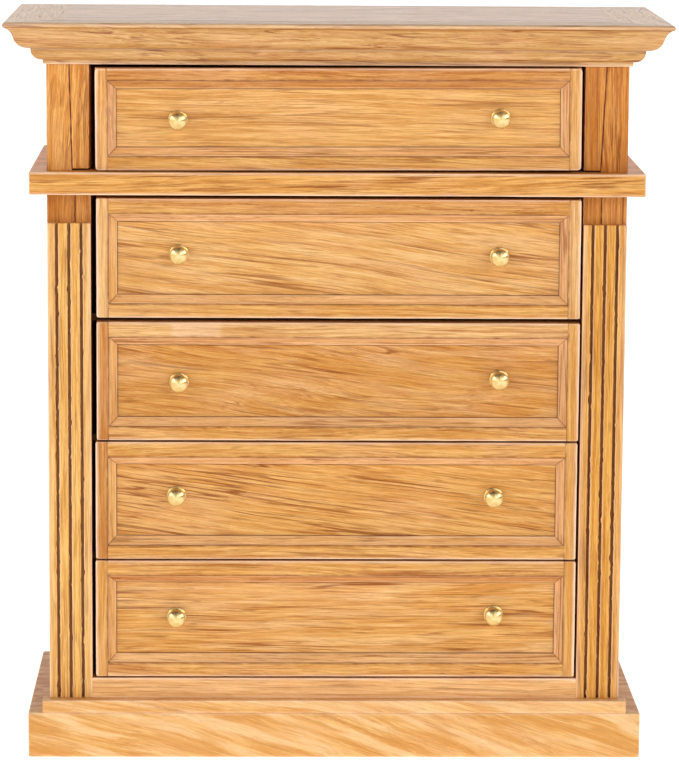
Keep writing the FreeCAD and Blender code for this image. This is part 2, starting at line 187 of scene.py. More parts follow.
def oak(name, axes, slope=0.0, seed=1, ring=2.0, turn=30.0, wave=1.0, streaks=0.6, pores=0.5,
        fibres=1.0, lines=0.6, lenses=0.0, flecks=0.12, bands=0.0, tone=1.0, pink=0.3, worn_and_lit=0.8,
        gloss=0.40, shine=0.15, light=OAK_LIGHT, mid=OAK_MID, dark=OAK_DARK):
    """Oiled oak. axes is the grain's direction, slope its lean in the board's face, ring the width
    of a year's growth, turn the angle of the rings to the face, wave how much the grain wanders.
    streaks, pores, fibres, lines, lenses, flecks, bands and pink are strengths, and so is the
    one for the pale arrises, partly rubbing and partly a painted highlight. tone darkens or
    lightens it all, gloss is the roughness and shine the specular level."""
    material, n = new_material(name)
    place = n.add("ShaderNodeTexCoord").outputs["Object"]
    offset = (seed * 37.7 % 211, seed * 53.3 % 173, seed * 71.9 % 197)
    lie = {"Vector": place, "Scale": (1 / MM,) * 3, "Location": offset,
           "Rotation": grain_rotation(axes, slope, turn)}
    straight = n.add("ShaderNodeMapping", lie).outputs[0]

    # The grain wanders, and everything below follows it.
    drift = n.stretched(straight, 38, 11, 1.0)
    wobble = n.stretched(straight, 12, 2.6, 2.0)
    parts = n.add("ShaderNodeSeparateXYZ", [straight])
    across = n.math("MULTIPLY_ADD", drift, 5.0 * wave, parts.outputs[1])
    across = n.math("MULTIPLY_ADD", wobble, 0.7 * wave, across)
    board = n.add("ShaderNodeCombineXYZ", [parts.outputs[0], across, parts.outputs[2]]).outputs[0]

    # Growth rings, as years of uneven width.
    years = n.math("DIVIDE", across, ring)
    year = n.math("FLOOR", years)
    season = n.math("FRACT", years)
    vigour = n.add("ShaderNodeTexWhiteNoise", {"W": year}, noise_dimensions="1D").outputs[0]
    rise = n.step(season, 0.0, 0.10)
    fall = n.step(season, 0.14, 0.55, 1.0, 0.0)
    spring = n.math("MULTIPLY", rise, fall)
    broken = n.step(n.stretched(board, 24, 0.9, 3.0), 0.40, 0.62)
    spring = n.math("MULTIPLY", spring, n.step(vigour, 0.1, 0.9, 0.25, 1.0))
    streak = n.math("MULTIPLY", spring, broken)

    # Thin dark lines that come and go, short ones and then long ones.
    contour = n.math("ABSOLUTE", n.math("SUBTRACT", n.stretched(board, 55, 1.0, 2.0, 0.45), 0.5))
    there = n.step(n.stretched(board, 16, 1.5, 1.0), 0.44, 0.58)
    hair = n.math("MULTIPLY", n.step(contour, 0.006, 0.034, 1.0, 0.0), there)
    contour = n.math("ABSOLUTE", n.math("SUBTRACT", n.stretched(board, 14, 0.42, 1.0), 0.5))
    there = n.step(n.stretched(board, 6, 0.8, 1.0), 0.46, 0.60, 0.0, 0.6)
    hair = n.math("MAXIMUM", hair, n.math("MULTIPLY", n.step(contour, 0.01, 0.06, 1.0, 0.0), there))

    # Open pores, mostly in the spring wood, cut lengthwise into short dashes.
    vessels = n.step(n.stretched(board, 1.9, 0.15, 2.0, 0.6), 0.58, 0.70)
    crowd = n.math("MULTIPLY_ADD", spring, 0.75, 0.25)
    pore = n.math("MULTIPLY", vessels, crowd)
    fleck = n.step(n.stretched(board, 1.5, 0.17, 1.0), 0.60, 0.72)

    # Single fibres, bundles of them, and pinker patches.
    fine = n.stretched(board, 5.0, 0.09, 4.0, 0.8)
    coarse = n.stretched(board, 17, 0.5, 3.0, 0.6)
    patch = n.stretched(board, 15, 5.5, 2.0)

    colour = n.mix(n.step(coarse, 0.38, 0.62), mid, light)
    colour = n.mix(n.math("MULTIPLY", n.step(patch, 0.46, 0.66), pink), colour, OAK_PINK)
    colour = n.mix(n.math("MULTIPLY", streak, streaks), colour, dark)
    colour = n.mix(n.math("MULTIPLY", hair, lines), colour, OAK_LINE)
    # Broad pale and dark figure, as in a board cut across the rings.
    if bands:
        broad = n.stretched(board, 13, 1.5, 1.0)
        colour = n.mix(n.step(broad, 0.50, 0.66, 0.0, bands), colour, OAK_PALE)
        colour = n.mix(n.step(broad, 0.34, 0.48, bands, 0.0), colour, OAK_MID)
    if lenses:
        lens = n.step(n.stretched(straight, 10, 0.34, 1.0), 0.62, 0.70)
        colour = n.mix(n.math("MULTIPLY", lens, lenses), colour, OAK_LINE)
    colour = n.mix(n.math("MULTIPLY", pore, pores), colour, OAK_PORE)
    colour = n.mix(n.math("MULTIPLY", fleck, flecks), colour, OAK_PALE)
    # The darker a fibre, the redder.
    shade = [n.step(fine, 0.30, 0.70, tone * (1 - low * fibres), tone * (1 + high * fibres))
             for low, high in ((0.24, 0.20), (0.36, 0.26), (0.52, 0.40))]
    shade = n.add("ShaderNodeCombineXYZ", shade).outputs[0]
    colour = n.mix(1.0, colour, shade, "MULTIPLY")
    # Arrises go pale, partly from rubbing and partly as a painted highlight where they catch the
    # light.
    rubbed_and_lit = n.math("MULTIPLY", n.attribute("wear"), n.step(coarse, 0.3, 0.6, 0.6 * worn_and_lit, worn_and_lit))
    colour = n.mix(rubbed_and_lit, colour, OAK_WORN_AND_HIGHLIGHT)
    # Glue lines and end grain go dark, and so do the creases and flute hollows, where it is painted
    # shade.
    colour = n.mix(n.attribute("seam"), colour, OAK_SEAM_AND_SHADE)

    grainy = n.step(fine, 0.3, 0.7, gloss + 0.10, gloss - 0.08)
    roughness = n.math("MULTIPLY_ADD", pore, 0.25, n.math("MULTIPLY_ADD", coarse, 0.08, grainy))
    height = n.math("MULTIPLY_ADD", pore, -1.0, n.math("MULTIPLY", fine, 0.55))
    height = n.math("MULTIPLY_ADD", hair, -0.4, height)
    bump = n.add("ShaderNodeBump", {"Strength": 0.6, "Distance": 0.03 * MM, "Height": height})
    shader = n.add("ShaderNodeBsdfPrincipled", {"Base Color": colour, "Roughness": roughness,
                                                "Specular IOR Level": shine,
                                                "Normal": bump.outputs[0]})
    n.add("ShaderNodeOutputMaterial", [shader.outputs[0]])
    return material


def brass(name, centre, seed):
    """Turned and polished brass, with fine rings left by the tool round the knob's own axis."""
    material, n = new_material(name)
    place = n.add("ShaderNodeTexCoord").outputs["Object"]
    own = n.add("ShaderNodeMapping", {"Vector": place, "Scale": (1 / MM,) * 3,
                                      "Location": tuple(-c for c in centre)}).outputs[0]
    flat = n.vector("MULTIPLY", own, (1, 0, 1))
    radius = n.vector("LENGTH", flat)
    depth = n.add("ShaderNodeSeparateXYZ", [own]).outputs[1]
    turning = [n.math("MULTIPLY", radius, 16.0), n.math("MULTIPLY", depth, 11.0), float(seed)]
    rings = n.noise(n.add("ShaderNodeCombineXYZ", turning).outputs[0], 2.0, 0.6)
    film = n.noise(n.vector("MULTIPLY", own, (1.1, 1.1, 1.1)), 3.0, 0.6)
    colour = n.mix(n.step(film, 0.35, 0.65), linear(242, 216, 156), linear(226, 192, 122))
    roughness = n.step(film, 0.3, 0.7, 0.26, 0.34)
    bump = n.add("ShaderNodeBump", {"Strength": 0.25, "Distance": 0.01 * MM, "Height": rings})
    turned = n.add("ShaderNodeTangent", direction_type="RADIAL", axis="Y").outputs[0]
    shader = n.add("ShaderNodeBsdfPrincipled", {"Base Color": colour, "Metallic": 1.0,
                                                "Roughness": roughness, "Anisotropic": 0.9,
                                                "Anisotropic Rotation": 0.25,
                                                "Tangent": turned, "Normal": bump.outputs[0]})
    n.add("ShaderNodeOutputMaterial", [shader.outputs[0]])
    return material


# -------- mesh helpers

SHARP_ANGLE = 50              # edges turning more than this are shaded sharp
ARC_STEPS = 3                 # facets of a rounded arris
SUPPORT = 0.3                 # width of the flat band kept beside a rounded edge
PLANK_STEP = 0.7              # distance between the rings of a board
CHIPS = 0.25                  # how deep the arrises are torn here and there
END_DIRT = 0.12               # the end grain's darker tint
END_WEAR = 0.1


def unsteady(*place):
    """Smooth noise between about -1 and 1."""
    return noise.noise(Vector(place)) * 1.4


def add_piece(name, points, faces, marks, body, node, slot, material):
    """Makes the mesh, puts it on its body and hides the CAD node it stands for. marks gives values
    for each point by name."""
    mesh = bpy.data.meshes.new(name)
    kept = []
    for point in points:
        inside = [min(max(p, low), high) for p, low, high in zip(point, BOX_LOW, BOX_HIGH)]
        kept.append([p * MM for p in inside])
    mesh.from_pydata(kept, [], faces)
    for key, values in marks.items():
        mesh.attributes.new(key, "FLOAT", "POINT").data.foreach_set("value", values)
    mesh.validate()
    mesh.materials.append(material)
    mesh.shade_smooth()
    mesh.set_sharp_from_angle(angle=math.radians(SHARP_ANGLE))
    piece = add_object(name, mesh)
    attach(piece, body)
    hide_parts(node)


def skin(rings):
    """Faces of a closed skin over rings with the same number of points each, counted outwards."""
    count = len(rings[0])
    faces = [tuple(reversed(range(count)))]
    for i in range(len(rings) - 1):
        for j in range(count):
            a, b = i * count + j, i * count + (j + 1) % count
            faces.append((a, b, b + count, a + count))
    last = (len(rings) - 1) * count
    faces.append(tuple(range(last, last + count)))
    return faces


def flipped(faces):
    return [tuple(reversed(face)) for face in faces]


def flat(rings):
    return [p for ring in rings for p in ring]


def rounded_ring(low_u, high_u, low_v, high_v, radii):
    """Outline of a rectangle with rounded corners as (u, v, paleness), turning from u to v. The
    paleness on the arcs is partly rubbing and partly a painted highlight.
    """
    corners = [(low_u, low_v, 1, 1, 180), (high_u, low_v, -1, 1, 270),
               (high_u, high_v, -1, -1, 0), (low_u, high_v, 1, -1, 90)]
    ring = []
    for k, (u, v, du, dv, start) in enumerate(corners):
        r = radii[k]
        for i in range(ARC_STEPS + 1):
            angle = math.radians(start + 90 * i / ARC_STEPS)
            wear = 0.45 if i in (0, ARC_STEPS) else 1.0
            ring.append((u + du * r + r * math.cos(angle), v + dv * r + r * math.sin(angle), wear))
        nu, nv, ndu, ndv, _ = corners[(k + 1) % 4]
        au, av = ring[-1][:2]
        following = radii[(k + 1) % 4]
        bu, bv = (nu + ndu * following, nv) if nv == v else (nu, nv + ndv * following)
        length = math.hypot(bu - au, bv - av)
        near = min(SUPPORT / max(length, 1e-6), 0.3)
        for share in (near, 0.5, 1 - near):
            ring.append((au + (bu - au) * share, av + (bv - av) * share, 0.0))
    return ring


def places_along(low, high, end_radius, step):
    """Places from low to high, close together where the ends round over."""
    near = [end_radius * (1 - math.cos(math.radians(a))) for a in (0, 25, 45, 65, 90)]
    near.append(end_radius + SUPPORT)
    count = max(1, round((high - low - 2 * near[-1]) / step))
    start, stop = low + near[-1], high - near[-1]
    middle = [start + (stop - start) * i / count for i in range(1, count)]
    return [low + d for d in near] + middle + [high - d for d in reversed(near)]


def shrink(radius, distance):
    """How far a side draws in at this distance from a rounded end."""
    if distance >= radius:
        return 0.0
    return radius - math.sqrt(max(0.0, radius ** 2 - (radius - distance) ** 2))


def plank(low, high, along, seed, arris=0.1, ends=0.08, waver=0.02, nicks=(), joints=(),
          pale=(0, 0, 0)):
    """Board with eased and slightly uneven arrises. along is 0 or 2, for which rings that turn from
    u to v face outwards. arris is one radius or four, ends is one radius or four, for the sides
    low u, high u, low v, high v. A nick is (corner, place, length, depth), and joints are the
    corners where a dark glue line shows. pale gives the start, end and strength of a bleached
    stretch."""
    u, v = [i for i in range(3) if i != along]
    arris = (arris,) * 4 if isinstance(arris, float) else arris
    ends = (ends,) * 4 if isinstance(ends, float) else ends
    rings, wear, seam = [], [], []
    for place in places_along(low[along], high[along], max(ends), PLANK_STEP):
        distance = min(place - low[along], high[along] - place)
        drawn = [shrink(radius, distance) for radius in ends]
        radii = []
        for k, radius in enumerate(arris):
            uneven = 1 + 0.45 * unsteady(place * 0.35, seed, k * 7.3)
            torn = max(0.0, unsteady(place * 0.9, seed + 11.3, k * 5.1) - 0.62) * CHIPS
            for corner, centre, length, depth in nicks:
                if corner == k:
                    torn += depth * max(0.0, 1 - (2 * (place - centre) / length) ** 2)
            radii.append(max(0.02, radius * uneven + torn))
        ring = []
        shown = rounded_ring(low[u] + drawn[0], high[u] - drawn[1], low[v] + drawn[2],
                             high[v] - drawn[3], radii)
        for pu, pv, worn_and_lit in shown:
            point = [0.0] * 3
            point[along], point[u], point[v] = place, pu, pv
            point[u] += waver * unsteady(place * 0.12, pv * 0.1, seed)
            point[v] += waver * unsteady(place * 0.12, pu * 0.1, seed + 31.7)
            glued = len(ring) // (ARC_STEPS + 4) in joints and worn_and_lit > 0
            dark = 0.4 + 0.4 * unsteady(place * 0.8, seed + 3.9, 0.0) if glued else 0.0
            ring.append(point)
            ragged = place + 0.4 * unsteady(pu * 0.9, pv * 0.9, seed)
            bleached = pale[2] if pale[0] < ragged < pale[1] else 0.0
            # Near the rounded ends the arrises are paler: partly rubbing, partly a painted
            # highlight.
            rubbed_and_lit = max(worn_and_lit, bleached, 0.5 if distance < 0.4 * max(ends) else 0.0)
            # The end grain itself is darker, and only its edges are pale, partly from rubbing and
            # partly as a painted highlight.
            capped = distance <= 0.01
            wear.append(0.0 if glued else END_WEAR if capped else rubbed_and_lit)
            seam.append(min(1.0, max(END_DIRT if capped else 0.0, dark)))
        rings.append(ring)
    return flat(rings), skin(rings), {"wear": wear, "seam": seam}


def tilted(shape, pivot, angle):
    """Turns a shape about the front-to-back line through pivot."""
    points, faces, marks = shape
    c, s = math.cos(math.radians(angle)), math.sin(math.radians(angle))
    turned = []
    for x, y, z in points:
        dx, dz = x - pivot[0], z - pivot[2]
        turned.append([pivot[0] + dx * c - dz * s, y, pivot[2] + dx * s + dz * c])
    return turned, faces, marks


# -------- base, waist, rail and top


def carcass_board(node, name, seed, material, **shape):
    add_piece(name, *plank(*span(node), 0, seed, **shape), "carcass", node, "oak_case", material)


carcass_board("base_slab", "base_slab_board", 3,
              oak("oak_base", "X", slope=17, seed=4, ring=2.6, wave=1.3, streaks=0.15, lines=0.2,
                  pores=0.15, fibres=0.6, bands=0.65, worn_and_lit=0.3, light=linear(230, 182, 115),
                  mid=linear(214, 156, 84)),
              arris=(0.16, 0.08, 0.08, 0.22), ends=(0.45, 0.1, 0.14, 0.14))
carcass_board("base_strip", "base_strip_bead", 5,
              oak("oak_strip", "X", slope=12, seed=6, ring=2.2, streaks=0.25, lines=0.2, pores=0.3,
                  fibres=0.7, bands=0.5, worn_and_lit=0.4, light=linear(237, 190, 126),
                  mid=linear(219, 162, 93)),
              arris=(0.05, 0.05, 0.08, 0.14), ends=(0.12, 0.05, 0.1, 0.12))
carcass_board("bottom_rail", "bottom_rail_board", 7,
              oak("oak_rail", "X", slope=1, seed=8, wave=0.5, streaks=0.25, lines=0.4,
                  fibres=0.8, light=linear(243, 195, 135), mid=linear(227, 172, 106)),
              arris=(0.05, 0.05, 0.06, 0.12),
              nicks=[(3, span("bottom_rail")[1][0] - 0.4, 1.2, 0.3)])
carcass_board("waist_board", "waist_moulding_board", 9,
              oak("oak_waist", "X", slope=-1.0, seed=10, ring=2.2, wave=0.6, streaks=0.4,
                  pores=0.4, lenses=0.8, light=linear(227, 172, 97), mid=linear(209, 145, 68)),
              arris=(0.16, 0.08, 0.08, 0.14), ends=(0.45, 0.1, 0.14, 0.12))
carcass_board("top_board", "top_board_panel", 11,
              oak("oak_top", "XTOP", slope=1, seed=12, ring=2.4, wave=0.5, streaks=0.5, pores=0.9,
                  lines=1.0, fibres=1.2, shine=0.55, gloss=0.34, light=linear(228, 180, 132),
                  mid=linear(216, 160, 106)),
              arris=0.04, ends=0.04, waver=0.01)

# -------- cornice

# From the top down: a rounded nose, a cove, a large and a small ovolo, and a plain foot.
NOSE_HEIGHT = 0.75
# Paleness round the nose by angle: a painted highlight along its top and painted shade under it.
NOSE_LIGHT_AND_SHADE = {-90: 0.0, -72: 0.25, -54: 0.35, -36: 0.45, -18: 0.45, 0: 0.4, 18: 0.2, 36: -0.15,
              54: -0.5, 72: -0.75, 90: 0.0}
COVE_RADIUS = 2.35
COVE_LEANS = (58.0, 14.0)
UPPER_RADIUS = 2.15
UPPER_LEDGE = 0.25
LOWER_RADIUS = 1.55
LOWER_DROP = 0.22
FOOT_LEDGE = 0.08
FOOT_PROJECTION = 0.5
CORNER_ROUND = {-1: 0.34, 1: 0.12}      # radius of the left and the right corner
MITRE_GAP = 0.015
FRONT_PARTS, RETURN_PARTS = 110, 50


def cornice_outline(lap, projection, height):
    """(out, drop, paleness) round the moulding: out from the column's face, drop from the top.
    Paleness above nought is a painted highlight, below nought painted shade in a crease."""
    outline = []

    def arc(cx, cy, radius, start, stop, steps):
        for i in range(steps + 1):
            angle = math.radians(start + (stop - start) * i / steps)
            outline.append((cx + radius * math.cos(angle), cy + radius * math.sin(angle), 0.0))

    def aim(angle):
        return math.cos(math.radians(angle)), math.sin(math.radians(angle))

    nose = NOSE_HEIGHT / 2
    start, stop = (aim(lean) for lean in COVE_LEANS)
    ledge = FOOT_PROJECTION + FOOT_LEDGE
    lower_face = ledge + LOWER_RADIUS
    upper_end = lower_face + UPPER_LEDGE
    cove_stop = (upper_end + UPPER_RADIUS * stop[0],
                 NOSE_HEIGHT + COVE_RADIUS * (start[1] - stop[1]))
    upper_drop = cove_stop[1] - UPPER_RADIUS * stop[1]
    upper_stop = upper_drop + UPPER_RADIUS
    lower_start = upper_stop + LOWER_DROP
    lower_stop = lower_start + LOWER_RADIUS
    for share in (0.0, 0.35, 0.7, 0.94):
        outline.append((-lap + (projection - nose + lap) * share, 0.0, 0.0))
    for angle, worn_and_lit in NOSE_LIGHT_AND_SHADE.items():
        c, d = aim(angle)
        outline.append((projection - nose + nose * c, nose + nose * d, worn_and_lit))
    # Painted shade in the crease under the nose.
    outline.append((outline[-1][0] - 0.02, NOSE_HEIGHT + 0.005, -0.75))
    outline.append((outline[-1][0] - 0.12, NOSE_HEIGHT + 0.01, -0.3))
    arc(cove_stop[0] + COVE_RADIUS * stop[0], cove_stop[1] + COVE_RADIUS * stop[1], COVE_RADIUS,
        COVE_LEANS[0] + 180, COVE_LEANS[1] + 180, 9)
    arc(upper_end, upper_drop, UPPER_RADIUS, COVE_LEANS[1] + 7, 90, 11)
    # Painted shade in the crease under the large ovolo, and a painted highlight just above the
    # small one.
    outline.append((lower_face + 0.03, upper_stop + 0.01, -0.5))
    outline.append((lower_face, upper_stop + 0.04, -0.4))
    outline.append((lower_face, lower_start - 0.06, 0.35))
    arc(ledge, lower_start, LOWER_RADIUS, 0, 90, 10)
    outline.append((FOOT_PROJECTION + 0.02, lower_stop + 0.01, 0.0))
    outline.append((FOOT_PROJECTION, lower_stop + 0.05, 0.0))
    # A painted highlight along the foot's bottom edge.
    outline.append((FOOT_PROJECTION, height - 0.12, 0.4))
    outline.append((FOOT_PROJECTION - 0.03, height - 0.03, 1.0))
    outline.append((FOOT_PROJECTION - 0.12, height, 0.6))
    outline.append((-lap, height, 0.0))
    return outline


def cornice_length(kind, side=-1):
    """Front length, or one of the returns, mitred at 45 degrees with a softened corner."""
    low, high = span("cornice_front")
    face = span("side_upper_left")[0][1]
    column = -span("side_upper_left")[0][0]
    back = BOX_HIGH[1]
    projection = face - low[1]
    lap = high[1] - face
    outline = cornice_outline(lap, projection, high[2] - low[2])

    def corner(out, hand, angle):
        """Point on the rounded corner at angle 0 (front) to 90 (side)."""
        r = CORNER_ROUND[hand] * min(1.0, max(0.0, (out + lap) / lap))
        x = column + out - r * (1 - math.sin(math.radians(angle)))
        y = face - out + r * (1 - math.cos(math.radians(angle)))
        return hand * x, y

    def turning(hand, angles):
        return [[corner(out, hand, angle) + (drop,) for out, drop, _ in outline]
                for angle in angles]

    if kind == "front":
        rings = turning(-1, (45, 30, 15, 0))
        for i in range(1, FRONT_PARTS):
            ring = []
            for out, drop, _ in outline:
                a, b = corner(out, -1, 0), corner(out, 1, 0)
                ring.append((a[0] + (b[0] - a[0]) * i / FRONT_PARTS, a[1], drop))
            rings.append(ring)
        rings += turning(1, (0, 15, 30, 45))
    else:
        rings = turning(side, (45, 60, 75, 90))
        for i in range(1, RETURN_PARTS + 1):
            ring = []
            for out, drop, _ in outline:
                a = corner(out, side, 90)
                ring.append((a[0], a[1] + (back - a[1]) * i / RETURN_PARTS, drop))
            rings.append(ring)
    # The wood stands a little off the true face, except where it is glued or lies flush.
    out_x, out_y = (0.0, -1.0) if kind == "front" else (float(side), 0.0)
    shaped = []
    for ring in rings:
        made = []
        for x, y, drop in ring:
            z = high[2] - drop
            uneven = abs(0.022 * unsteady(x * 0.11, y * 0.11, z * 0.35 + 3.1))
            hidden = 0.0 if (drop == 0.0 or abs(z - low[2]) < 1e-6) else 1.0
            made.append([x - out_x * uneven * hidden, y - out_y * uneven * hidden, z])
        shaped.append(made)
    # A hair's breadth off each mitre leaves the joint line.
    if kind == "front":
        for index, hand in ((0, -1), (-1, 1)):
            for p in shaped[index]:
                p[0] -= hand * MITRE_GAP
    else:
        for p in shaped[0]:
            p[1] += MITRE_GAP
    faces = skin(shaped)
    if kind != "front" and side > 0:
        faces = flipped(faces)
    # Paleness is painted highlight, and the crease marks are painted shade.
    wear = [max(0.0, worn_and_lit) for _ in shaped for _, _, worn_and_lit in outline]
    crease = [max(0.0, -worn_and_lit) for _ in shaped for _, _, worn_and_lit in outline]
    return flat(shaped), faces, {"wear": wear, "seam": crease}


add_piece("cornice_front_moulding", *cornice_length("front"), "carcass", "cornice_front",
          "oak_case",
          oak("oak_cornice", "X", slope=2.0, seed=14, ring=1.5, turn=50, wave=0.8, streaks=0.5,
              lines=0.9, pores=0.4, shine=0.45, gloss=0.36, light=linear(213, 168, 106),
              mid=linear(198, 147, 80)))
for name, hand in (("left", -1), ("right", 1)):
    add_piece(f"cornice_{name}_moulding", *cornice_length("return", hand), "carcass",
              f"cornice_{name}", "oak_case",
              oak(f"oak_cornice_{name}", "Y", slope=2, seed=15 + hand, ring=1.5, turn=40,
                  fibres=0.6, streaks=0.3, pores=1.0, shine=0.5, gloss=0.34))

# -------- pilasters

FLUTES = 3
FLUTE_PITCH = 1.76
FLUTE_WIDTH = 0.44
FLUTE_DEPTH = 0.8


def pilaster(node, seed):
    """Strip with sawn grooves, their lips torn here and there by the blade."""
    low, high = span(node)
    front, back = low[1], high[1]
    middle = (low[0] + high[0]) / 2
    half = FLUTE_WIDTH / 2
    rings, wear, seam = [], [], []
    for z in places_along(low[2], high[2], 0.06, 0.33):
        end = shrink(0.06, min(z - low[2], high[2] - z))
        face = front + end
        # Points carry paleness and darkness: paleness on the arrises and lips is partly rubbing and
        # partly a painted highlight, darkness in the flutes is painted shade.
        ring = [(high[0] - end, back, 0, 0), (low[0] + end, back, 0, 0)]
        ring += [(low[0] + end, face + 0.09, 0.4, 0), (low[0] + end + 0.03, face + 0.03, 1, 0),
                 (low[0] + end + 0.09, face, 0.4, 0)]
        for i in range(FLUTES):
            x = middle + (i - (FLUTES - 1) / 2) * FLUTE_PITCH
            x += 0.02 * unsteady(z * 0.04, seed, i)
            lips = []
            for side in (-1, 1):
                k = seed * 3.1 + i * 5.7 + side
                ragged = 0.022 * unsteady(z * 2.1, k, 0.5)
                torn = 0.26 * max(0.0, unsteady(z * 1.1, k, 9.5) - 0.5)
                hair = 0.25 * max(0.0, unsteady(z * 1.6, k, 4.5) - 0.5)
                lips.append(x + side * (half + ragged + torn - hair))
            depth = face + FLUTE_DEPTH + 0.08 * unsteady(z * 0.4, seed, i + 20.0)
            left, right = lips
            centre = x + 0.02 * unsteady(z * 0.8, seed, i + 40.0)
            # The flute walls darken towards the floor: painted shade in the grooves. The lips are
            # painted paler, the right one more: painted highlight.
            ring += [(left - 0.25, face, 0, 0), (left - 0.04, face, 0.2, 0),
                     (left, face + 0.05, 0.2, 0.1),
                     (min(left + 0.02, centre - 0.08), face + 0.3, 0, 0.4),
                     (centre - half * 0.8, depth, 0, 0.5), (centre + half * 0.8, depth, 0, 0.5),
                     (max(right - 0.02, centre + 0.08), face + 0.3, 0, 0.3),
                     (right, face + 0.05, 0.8, 0), (right + 0.04, face, 0.5, 0),
                     (right + 0.25, face, 0, 0)]
        ring += [(high[0] - end - 0.09, face, 0.4, 0), (high[0] - end - 0.03, face + 0.03, 1, 0),
                 (high[0] - end, face + 0.09, 0.4, 0)]
        made = []
        for x, y, worn_and_lit, groove_shade in ring:
            shift = 0.015 * unsteady(z * 0.15, x * 0.4, seed)
            made.append([x, y + (abs(shift) if y < back else 0.0), z])
            wear.append(float(worn_and_lit))
            seam.append(float(groove_shade))
        rings.append(made)
    return flat(rings), flipped(skin(rings)), {"wear": wear, "seam": seam}


for hand, seed in (("left", 21), ("right", 25)):
    node = f"pilaster_{hand}"
    add_piece(f"{node}_strip", *pilaster(node, seed), "carcass", node, "oak_case",
              oak(f"oak_{node}", "Z", slope=0.6, seed=seed, ring=1.6, wave=0.6, streaks=0.45,
                  **PILASTERS[hand]))

# -------- side boards and linings


def outwards(points, faces):
    """The same faces, turned over if the skin is inside out."""
    volume = 0.0
    for face in faces:
        a = Vector(points[face[0]])
        for i in range(1, len(face) - 1):
            volume += a.dot(Vector(points[face[i]]).cross(Vector(points[face[i + 1]])))
    return faces if volume > 0 else flipped(faces)


def post_board(node, hand, seed, taper, joint, rebate=0.0, rebate_y=0.0):
    """Upright board whose front edge was planed out of square. taper gives how far its inner front
    edge stands out towards the outside, at the bottom and at the top, and joint how far the outer
    one does. A dark line marks the glue joint between the boards. rebate is the width of the step
    at the back, which starts at rebate_y."""
    low, high = span(node)
    outer, inner = (low[0], high[0]) if hand < 0 else (high[0], low[0])
    width = abs(inner - outer)
    front, back = low[1], high[1]
    rings, wear, seam = [], [], []
    for z in places_along(low[2], high[2], 0.05, 0.3):
        share = (z - low[2]) / (high[2] - low[2])
        ragged = 0.035 * unsteady(z * 1.1, seed, 0.3)
        a = -(joint[0] + (joint[1] - joint[0]) * share) + (ragged if joint != (0, 0) else 0.0)
        b = width - (taper[0] + (taper[1] - taper[0]) * share) + ragged
        end = shrink(0.05, min(z - low[2], high[2] - z))
        f = front + end
        glue = min(1.0, max(0.3, 0.9 + 0.4 * unsteady(z * 0.9, seed, 4.0)))
        stain = max(0.0, 0.45 - 0.6 * share + 0.3 * unsteady(z * 0.8, seed, 8.0))
        first, last = (glue, 0.0) if joint != (0, 0) else (stain, glue)
        # The third value pales the front arrises, partly rubbing and partly a painted highlight;
        # the fourth marks the glue joint and the stain.
        ring = [(0.0, back, 0, 0), (0.0, f + 3, 0, 0), (a, f + 0.06, 0.4, first),
                (a + 0.02, f, 0, first), (a + 0.08, f, 0, first * 0.9), (a + 0.15, f, 0, 0)]
        ring += [(a + (b - a) * t, f, 0, 0) for t in (0.25, 0.5, 0.75)]
        ring += [(b - 0.15, f, 0, 0), (b - 0.08, f, 0.2, last * 0.9), (b - 0.02, f, 0.5, last),
                 (b, f + 0.06, 0, last), (width, f + 3, 0, 0)]
        if rebate:
            ring += [(width, rebate_y, 0, 0), (width - rebate, rebate_y, 0, 0),
                     (width - rebate, back, 0, 0)]
        else:
            ring += [(width, back, 0, 0)]
        made = []
        for u, y, worn_and_lit, dark in ring:
            made.append([outer + (u if hand < 0 else -u), y, z])
            wear.append(float(worn_and_lit))
            seam.append(float(dark))
        rings.append(made)
    points = flat(rings)
    return points, outwards(points, skin(rings)), {"wear": wear, "seam": seam}


panel_low, panel_high = span("back_upper")
lap = panel_high[0] - span("side_upper_right")[0][0]
# Level, hand, its side, the joint line's lean and the lining's inner edge's lean.
POSTS = [("upper", "left", -1, (0.33, 0.71), (0.28, 0.2)),
         ("upper", "right", 1, (0.1, 0.75), (0.0, 0.0)),
         ("lower", "left", -1, (0.02, -0.06), (0.0, 0.0)),
         ("lower", "right", 1, (0.02, 0.3), (0.0, 0.0))]
for k, (level, hand, side, shift, edge) in enumerate(POSTS):
    seed = 31 + 3 * k
    finish = BLOCK if level == "lower" else (POST_LEFT if side < 0 else POST)
    node = f"side_{level}_{hand}"
    shape = post_board(node, side, seed, shift, (0, 0), lap, panel_low[1])
    add_piece(f"post_{level}_{hand}_side", *shape, "carcass", node, "oak_case",
              oak(f"oak_post_{level}_{hand}", "Z", slope=0.8 * side, seed=seed, ring=1.5,
                  wave=0.8, streaks=0.6, lines=0.9, pores=0.7, **finish))
    node = f"lining_{level}_{hand}"
    shape = post_board(node, side, seed + 1, edge, shift)
    add_piece(f"post_{level}_{hand}_lining", *shape, "carcass", node, "oak_inside",
              oak(f"oak_post_lining_{level}_{hand}", "Z", slope=0.5, seed=seed + 1, ring=1.5,
                  wave=0.6, streaks=0.5, lines=0.6, pores=0.6, **finish))

# -------- drawers

